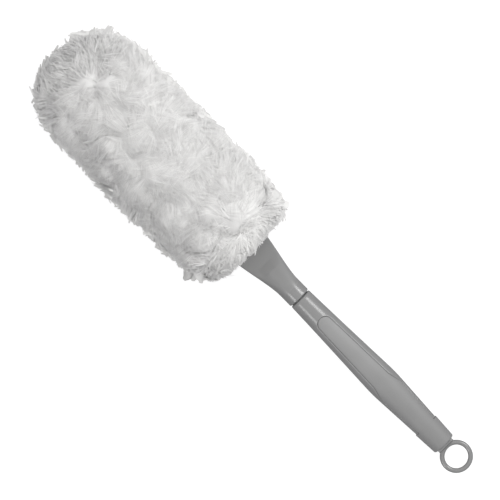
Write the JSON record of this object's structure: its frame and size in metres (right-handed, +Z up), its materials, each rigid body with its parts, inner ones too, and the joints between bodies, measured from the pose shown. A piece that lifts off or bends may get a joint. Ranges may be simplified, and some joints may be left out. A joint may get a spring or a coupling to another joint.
{
  "type": "microfiber duster",
  "caption": "Hand duster: a fluffy white microfibre sleeve on a flat paddle that plugs into a grey soft-grip handle with a hanging ring.",
  "frame": {"origin": "on the surface the duster lies on, under the middle of its bounding box", "axes": "+X from the head's tip towards the hang ring, +Z up out of the grip's face; the duster's own axis leans by about 4.5 degrees, because the head is deeper than the handle"},
  "size_m": [0.5826, 0.1294, 0.0952],
  "materials": {
    "handle_gloss": "smooth moulded polypropylene, semi-gloss mid grey",
    "grip_soft": "soft-touch overmould, matte grey",
    "ring_plastic": "smooth moulded plastic, satin grey",
    "neck_plastic": "smooth moulded polypropylene, satin grey",
    "backing_weave": "plain woven polyester, off-white",
    "elastic_weave": "ribbed woven elastic, off-white",
    "microfibre_pile": "long fluffy split-fibre strips, white"
  },
  "bodies": {
    "handle": {"handle_shell": "handle_gloss", "soft_grip": "grip_soft", "hang_ring": "ring_plastic"},
    "head_frame": {"head_frame": "neck_plastic"},
    "sleeve": {"sleeve_backing": "backing_weave", "mouth_elastic": "elastic_weave", "pile_row_01": "microfibre_pile", "pile_row_02": "microfibre_pile", "pile_row_03": "microfibre_pile", "pile_row_04": "microfibre_pile", "pile_row_05": "microfibre_pile", "pile_row_06": "microfibre_pile", "pile_row_07": "microfibre_pile", "pile_row_08": "microfibre_pile", "pile_row_09": "microfibre_pile", "pile_row_10": "microfibre_pile", "tip_tuft": "microfibre_pile"}
  },
  "joints": [
    {"name": "head_release", "type": "slide", "parent": "handle", "child": "head_frame", "axis": [-0.9969, 0, 0.0782], "range_m": [0, 0.05]},
    {"name": "sleeve_pull_off", "type": "slide", "parent": "head_frame", "child": "sleeve", "axis": [-0.9969, 0, 0.0782], "range_m": [0, 0.25]}
  ]
}
